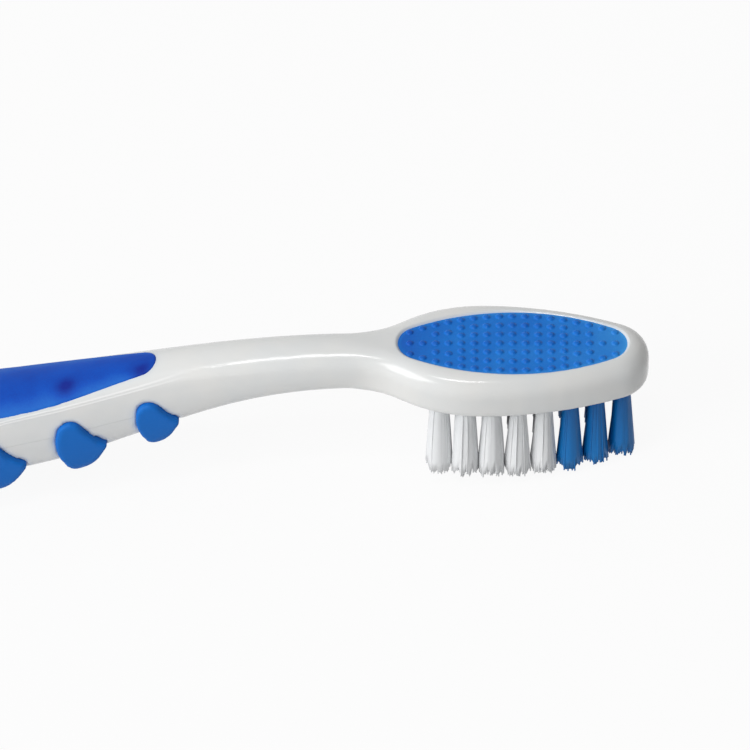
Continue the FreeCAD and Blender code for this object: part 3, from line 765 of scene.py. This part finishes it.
def makeHandle():
    # handle and head as one net, closed flush under both pads; then the rim round the cleaner rolls
    # down as an S of the distance from its outline.
    # stain: dies out exponentially from the pads, and grows with the nearness of the ribs;
    # shoulder and parting: height over these lines; fade: how far they show
    p = handle
    x, y = ovalGrid(cleaner, *p["lid"], 0)
    lid = closed(slab(x + middleOf(cleaner), y, np.zeros_like(y), p["lidBottom"]))
    mesh, points = evenNet("handle_and_head", p["cell"], solidOf("handle"), thumbFiller, lid)
    points = eased(points, mesh, p["rounds"], p["back"])
    neck = band(points[:, 0], *p["neckZone"])[:, None]
    points = eased(points, mesh, p["neckRounds"], p["neckBack"], neck)

    centres = points[edgesOf(mesh)].mean(1)
    gap = gapTo(cleaner, centres)
    near = (gap > p["rimBand"][0]) & (gap < p["rimBand"][1]) & (centres[:, 2] > p["rimAbove"])
    points = refined(mesh, points, np.flatnonzero(near))
    gap = gapTo(cleaner, points)
    points[:, 2] -= p["rimDepth"] * (1 - ramped(gap, *p["rim"])) * (points[:, 2] > p["rimAbove"])

    ahead = (points[:, 2] > p["haloAbove"]) * (points[:, 0] > p["haloAhead"])
    above = underTop(points) < p["haloUnder"]
    halo = (np.exp(-np.maximum(gap, 0) / p["halo"]) * ahead
            + np.exp(-np.maximum(gapTo(thumbPad, points), 0) / p["halo"]) * above)
    sides = ribPoints[underTop(ribPoints) > ribs["below"]]
    share = nearness(points, sides, p["stainCell"], p["stainReach"])
    share = np.clip(share / p["stainFull"], 0, 1) ** p["stainPower"]
    setTone(mesh, "stain", np.clip(p["padStain"] * halo + p["ribStain"] * share, 0, 1))
    for name in ("shoulder", "parting"):
        setTone(mesh, name, points[:, 2] - heightOn(p[name], points))
    setTone(mesh, "fade", band(points[:, 0], *p["lines"]))
    finishNet(mesh, spacedOut(points), white, "handle")
    return len(points)


print("handle made with", makeHandle(), "points")


def makeCleaner():
    # each section across is a loop: over the top, round both edges, back underneath.
    # Height over the top is the pad's face plus a half ball for each nub, with a small fillet round
    # its foot. The nubs stand in columns across the pad, and each column spreads its own evenly.
    # tone: a painted sheen and shade that change with the cube of the distance along, paler at the
    # toe and darker at the neck, and by an S over nubs and edges
    p = cleaner
    x, y = ovalGrid(p, p["grown"], p["along"], p["across"], p["crowd"])
    nearX = np.round(x / p["nubPitch"]) * p["nubPitch"]
    room = halfWidths(nearX, *ovalSize(p)) - p["margin"]
    rows = np.floor(room / p["rowPitch"])
    spacing = room / np.maximum(rows, 1)
    nearY = np.clip(np.round(y / spacing), -rows, rows) * spacing
    far = np.hypot(x - nearX, y - nearY) / p["nubRadius"]
    ball, foot = np.sqrt(np.clip(1 - far ** 2, 0, 1)), ramped(-far, *p["footFrom"])
    held = np.abs(nearX) <= p["length"] / 2 - p["ends"]
    dome = np.where(held, ball * (1 - p["foot"]) + p["foot"] * foot, 0)
    inward = -ovalGap(x, y, *ovalSize(p, p["grown"]))
    top = p["top"] - edgeDrop(p, inward) + p["nubHeight"] * dome
    # painted sheen towards the toe and painted shade towards the neck
    tone = (p["tone"] + p["sheenAlong"] * (x / p["length"] * 2) ** 3
            + p["nubTone"] * ramped(dome, *p["nubSpan"])
            + p["edgeTone"] * ramped(-inward, *p["edgeSpan"]))
    piece = padPiece("tongue_cleaner_pad", slab(x + middleOf(p), y, top, p["bottom"]), tone,
                     cleanerRubber, "cleaner_rubber", "tongue_cleaner")
    piece.data.set_sharp_from_angle(angle=math.radians(60))


makeCleaner()
print("tongue cleaner made")

bristles = {
    "columns": (2, 3, 3, 4, 4, 4, 4, 3),
    "blueColumns": 3,
    "from": 2.8,
    "pitch": 2.81,
    "face": -4.9,
    "inHole": 2.9,
    "length": 9.7,
    "longest": -0.07,  # past the length, before a filament's round end
    "filament": 0.086,  # radius
    "packing": 0.167,  # between filaments at the root
    "rings": 5,  # of filaments round the middle one
    "sides": 5,
    "steps": (0, 0.23, 0.4, 0.58, 0.76, 0.9, 1.0),
    "splay": (2.05, 1.4),  # tip spacing over root spacing: the near row, the others
    "bend": (1, 1, 1, 1, 1, 0.7, 0.5, 0.5),  # power of the fan, by column: below 1 it opens early
    "upright": 0.2,  # share of a filament that stands straight in its hole
    "strayRoot": 0.012,
    "strayTip": 0.055,
    "belly": 0.05,
    "capGirth": 0.6,  # of the ring that rounds a filament's end
    "capStep": 0.7,  # in radii: that ring past the last one, and the point past that ring
    "capPoint": 0.3,
    "teeth": 0.85,
    "teethAcross": (1.25, 0.3),  # groups of one length, per mm
    "ripple": 4.0,
    "trim": (0.3, 1, 0.08),  # mean cut, share of the teeth and raggedness
    "coreTrim": (0.25, 1.2, 0.16),
    "core": 1.05,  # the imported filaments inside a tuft, over its outer ring
    "coreSides": 72,
    "coreRings": 10,
    "coreEnd": 0.98,
    "coreInner": 0.75,  # of the ring that closes its end
    "coreRise": (0.1, 0.2),  # that ring into the end, and the middle into that ring
    "pleat": 0.035,
    "pleatFrom": (0.1, 0.5),
    "tone": (0.6, 0.22),  # mean and spread
    "coreTone": 0.55,
    "paling": 1.3,  # how soon the tips' colour is reached
}


def tuftAcross(node):
    # middle of a CAD tuft across the head, mm
    low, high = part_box(node)
    return 500 * (low.y + high.y) - resting["shift"][1]


def packedCircle(rings):
    # middle point and rings of 6, 12, 18... evenly round it, each turned a little further
    points = [(0.0, 0.0)]
    for ring in range(1, rings):
        turn = 2 * np.pi * np.arange(6 * ring) / (6 * ring) + 0.3 * ring
        points += list(zip(ring * np.cos(turn), ring * np.sin(turn)))
    return np.array(points)


def opened(t):
    # 0 at t up to the head's face, 1 at a filament's tip
    return np.clip((t - bristles["upright"]) / (1 - bristles["upright"]), 0, 1)


def cutLengths(tip, phase, trim):
    # length from the fold in the hole to the trimmed end: the full one less the mean cut and some
    # raggedness, plus a triangle wave and a slow sine across the tuft, so that filaments stand in
    # little groups of one length
    b = bristles
    cut, share, ragged = trim
    full = b["inHole"] + b["length"]
    x, y = tip.T
    wave = np.abs(((x * b["teethAcross"][0] + y * b["teethAcross"][1] + phase[0]) % 1) * 2 - 1)
    groups = b["teeth"] * (wave - 0.5) + 0.5 * b["teeth"] * np.sin(y * b["ripple"] + phase[1])
    length = full - cut + share * groups - np.abs(dice.normal(0, ragged, len(tip)))
    return np.minimum(length, full + b["longest"])


def closedTubes(rings, roots, tips, start=0):
    # tubes as points and faces: quads between a tube's rings, and a fan to a point at each end
    count, length, sides = rings.shape[:3]
    k = np.arange(sides)
    n, last, root = (k + 1) % sides, (length - 1) * sides, np.full(sides, length * sides)
    quads = gridQuads(length, sides, True)[:, ::-1]
    fans = np.concatenate([np.stack([k, n, root], -1),
                           np.stack([last + n, last + k, root + 1], -1)])
    points = np.concatenate([rings.reshape(count, -1, 3), roots[:, None], tips[:, None]], 1)
    shift = start + np.arange(count)[:, None, None] * points.shape[1]
    faces = [(kind + shift).reshape(-1, kind.shape[1]).tolist() for kind in (quads, fans)]
    return points.reshape(-1, 3), faces[0] + faces[1]


def tuftCore(phase, splay, power):
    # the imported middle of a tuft: rings that fan out like the filaments, pleated by every other
    # point, ragged at the end, and a smaller ring set into it
    b = bristles
    turn = 2 * np.pi * np.arange(b["coreSides"]) / b["coreSides"]
    outer = b["core"] * b["packing"] * (b["rings"] - 1)
    t = np.linspace(0, b["coreEnd"], b["coreRings"])[:, None]
    pleat = 1 + b["pleat"] * (np.arange(b["coreSides"]) % 2) * ramped(t, *b["pleatFrom"])
    radius = outer * (1 + (splay - 1) * opened(t) ** power) * pleat
    x, y = radius * np.cos(turn), radius * np.sin(turn)
    length = cutLengths(np.stack([x[-1], y[-1]], -1), phase, b["coreTrim"])
    z = b["face"] + b["inHole"] - t * length
    rings = np.stack(np.broadcast_arrays(x, y, z), -1)
    inner = rings[-1:] * [b["coreInner"], b["coreInner"], 1] + [0, 0, b["coreRise"][0]]
    return np.concatenate([rings, inner])


def makeTuft(node, hue, column, splay, power):
    # every filament is a thin rod with a rounded end, swept along a line that leans outwards from
    # the tuft's axis: place = root + (tip - root) * opened ** power, plus a slight sine belly.
    # tone: half the filament's own, half how far down a point is
    b = bristles
    home = packedCircle(b["rings"]) * b["packing"]
    count = len(home)
    home = home + dice.normal(0, b["strayRoot"], home.shape)
    tip = home * splay + dice.normal(0, b["strayTip"], home.shape)
    swing, curl = dice.uniform(0, 2 * np.pi, count), dice.normal(0, b["belly"], count)
    phase = dice.uniform(0, 2 * np.pi, 2)
    length = cutLengths(tip, phase, b["trim"])
    t = np.array(b["steps"])[:, None]
    turn = 2 * np.pi * np.arange(b["sides"]) / b["sides"]
    belly = np.sin(np.pi * opened(t)) * curl
    x, y = ((home[:, k] + (tip - home)[:, k] * opened(t) ** power + belly * way(swing))[..., None]
            + b["filament"] * way(turn) for k, way in enumerate((np.cos, np.sin)))
    z = (b["face"] + b["inHole"] - t * length)[..., None]
    rings = np.stack(np.broadcast_arrays(x, y, z), -1).transpose(1, 0, 2, 3)
    cap, middle = rings[:, -1:].copy(), rings[:, -1:].mean(2, keepdims=True)
    cap[..., :2] = (middle + b["capGirth"] * (cap - middle))[..., :2]
    cap[..., 2] -= b["filament"] * b["capStep"]
    rings = np.concatenate([rings, cap], 1)
    ends = cap[:, 0].mean(1) - [0, 0, b["filament"] * b["capPoint"]]
    points, faces = closedTubes(rings, rings[:, 0].mean(1), ends)

    core = tuftCore(phase, splay, power)
    coreEnd = core[-1:].mean(1) + [0, 0, b["coreRise"][1]]
    corePoints, coreFaces = closedTubes(core[None], core[:1].mean(1), coreEnd, len(points))
    own = np.clip(dice.normal(*b["tone"], count), 0, 1)
    own = np.concatenate([np.repeat(own, len(points) // count),
                          np.full(len(corePoints), b["coreTone"])])
    whole = np.concatenate([points, corePoints])
    down = np.clip((b["face"] - whole[:, 2]) / b["length"] * b["paling"], 0, 1)
    place = [-b["from"] - column * b["pitch"], tuftAcross(node), 0]
    piece = newPiece(f"{node}_filaments", whole + place, faces + coreFaces, nylons[hue],
                     f"{hue}_bristle", node)
    setTone(piece.data, "tone", 0.5 * own + 0.5 * down)


for column, rows in enumerate(bristles["columns"]):
    hue = "blue" if column < bristles["blueColumns"] else "white"
    nodes = sorted((f"{hue}_tuft_{column + 1}_{row + 1}" for row in range(rows)), key=tuftAcross)
    for row, node in enumerate(nodes):  # from the near side to the far one
        makeTuft(node, hue, column, bristles["splay"][min(row, 1)], bristles["bend"][column])
print("bristles made")

backdrop = {
    "reach": 4,  # of the floor, in metres
    "floorColour": (0.7, 0.7, 0.7, 1),
    "white": (1, 1, 1, 1),
    "whiteShare": 0.93,
    "worldLight": (0.98, 0.03),  # from the left, from the right
    "worldSides": (-1, 0.7),
}


def plainRays(start):
    # 1 for what the camera sees, straight, in reflections or through glass
    return start.node("LightPath") + start.node("LightPath", out=3) + start.node("LightPath", out=6)


def makeFloorPaint():
    # pale paint; to the camera and in reflections it is mostly plain white, with the shadow kept
    material, start, shader = newMaterial("floorPaint", {"Base Color": backdrop["floorColour"],
                                                         "Roughness": 0.9})
    share = plainRays(start).between(0, 1, 0, backdrop["whiteShare"])
    paint = Wire(start.tree, shader.outputs[0])
    plain = start.node("Emission", None, {"Color": backdrop["white"], "Strength": 1.0})
    mixed = start.node("MixShader", None, {0: share, 1: paint, 2: plain})
    plug(mixed, start.tree.nodes["Material Output"], "Surface")
    return material


floor = linked("floor", bpy.data.meshes.new("floor"))
corners = backdrop["reach"] * np.array([(-1, -1, 0), (1, -1, 0), (1, 1, 0), (-1, 1, 0)])
floor.data.from_pydata(corners, [], [(0, 1, 2, 3)])
floor.data.materials.append(makeFloorPaint())

world = bpy.data.worlds.new("studio")
bpy.context.scene.world = world
world.use_nodes = True
background = world.node_tree.nodes["Background"]
background.inputs["Color"].default_value = backdrop["white"]
sky = Wire(world.node_tree)
side = sky.node("SeparateXYZ", None, {"Vector": sky.node("TexCoord")})
light = side.between(*backdrop["worldSides"], *backdrop["worldLight"])
plug(sky.math("MAXIMUM", plainRays(sky), light), background, "Strength")

lamps = {
    "overheadBox": {"at": (0.04, -0.16, 0.6), "size": (0.2, 0.07), "watts": 0.66},
    "leftBox": {"at": (-0.38, -0.3, 0.42), "size": (0.35, 0.35), "watts": 2.2},
}
lampTarget = (0.066, 0.0, 0.012)


def aim(thing, place, target, up):
    # stands at place and looks at target, with up as near upwards as that allows
    back = np.array(place) - np.array(target)
    back = back / np.linalg.norm(back)
    right = np.cross(up, back)
    right = right / np.linalg.norm(right)
    axes = np.column_stack([right, np.cross(back, right), back, place])
    thing.matrix_world = Matrix([*axes.tolist(), (0, 0, 0, 1)])


for name, lamp in lamps.items():
    box = bpy.data.lights.new(name, "AREA")
    box.shape, box.energy = "RECTANGLE", lamp["watts"]
    box.size, box.size_y = lamp["size"]
    aim(linked(name, box), lamp["at"], lampTarget, (0, 1, 0.01))

view = {
    "elevation": math.radians(43.6),
    "centre": (-29.39, 0.0, -4.90),  # level mm at the picture's middle
    "away": 0.8,
    "frame": 0.08065,  # metres across the picture at the brush
    "sensor": 36,
}
camera = linked("camera", bpy.data.cameras.new("camera"))
rise, fall = math.sin(view["elevation"]), math.cos(view["elevation"])
centre = atRest(view["centre"])
stand = centre - view["away"] * leaned((0, fall, -rise), 1)
aim(camera, stand, centre, leaned((0, rise, fall), 1))
camera.data.sensor_width = view["sensor"]
camera.data.lens = view["sensor"] * view["away"] / view["frame"]
camera.data.clip_start, camera.data.clip_end = 0.05, 20
bpy.context.scene.camera = camera
bpy.context.scene.view_settings.view_transform = "Standard"
print("stage, lights and camera set")
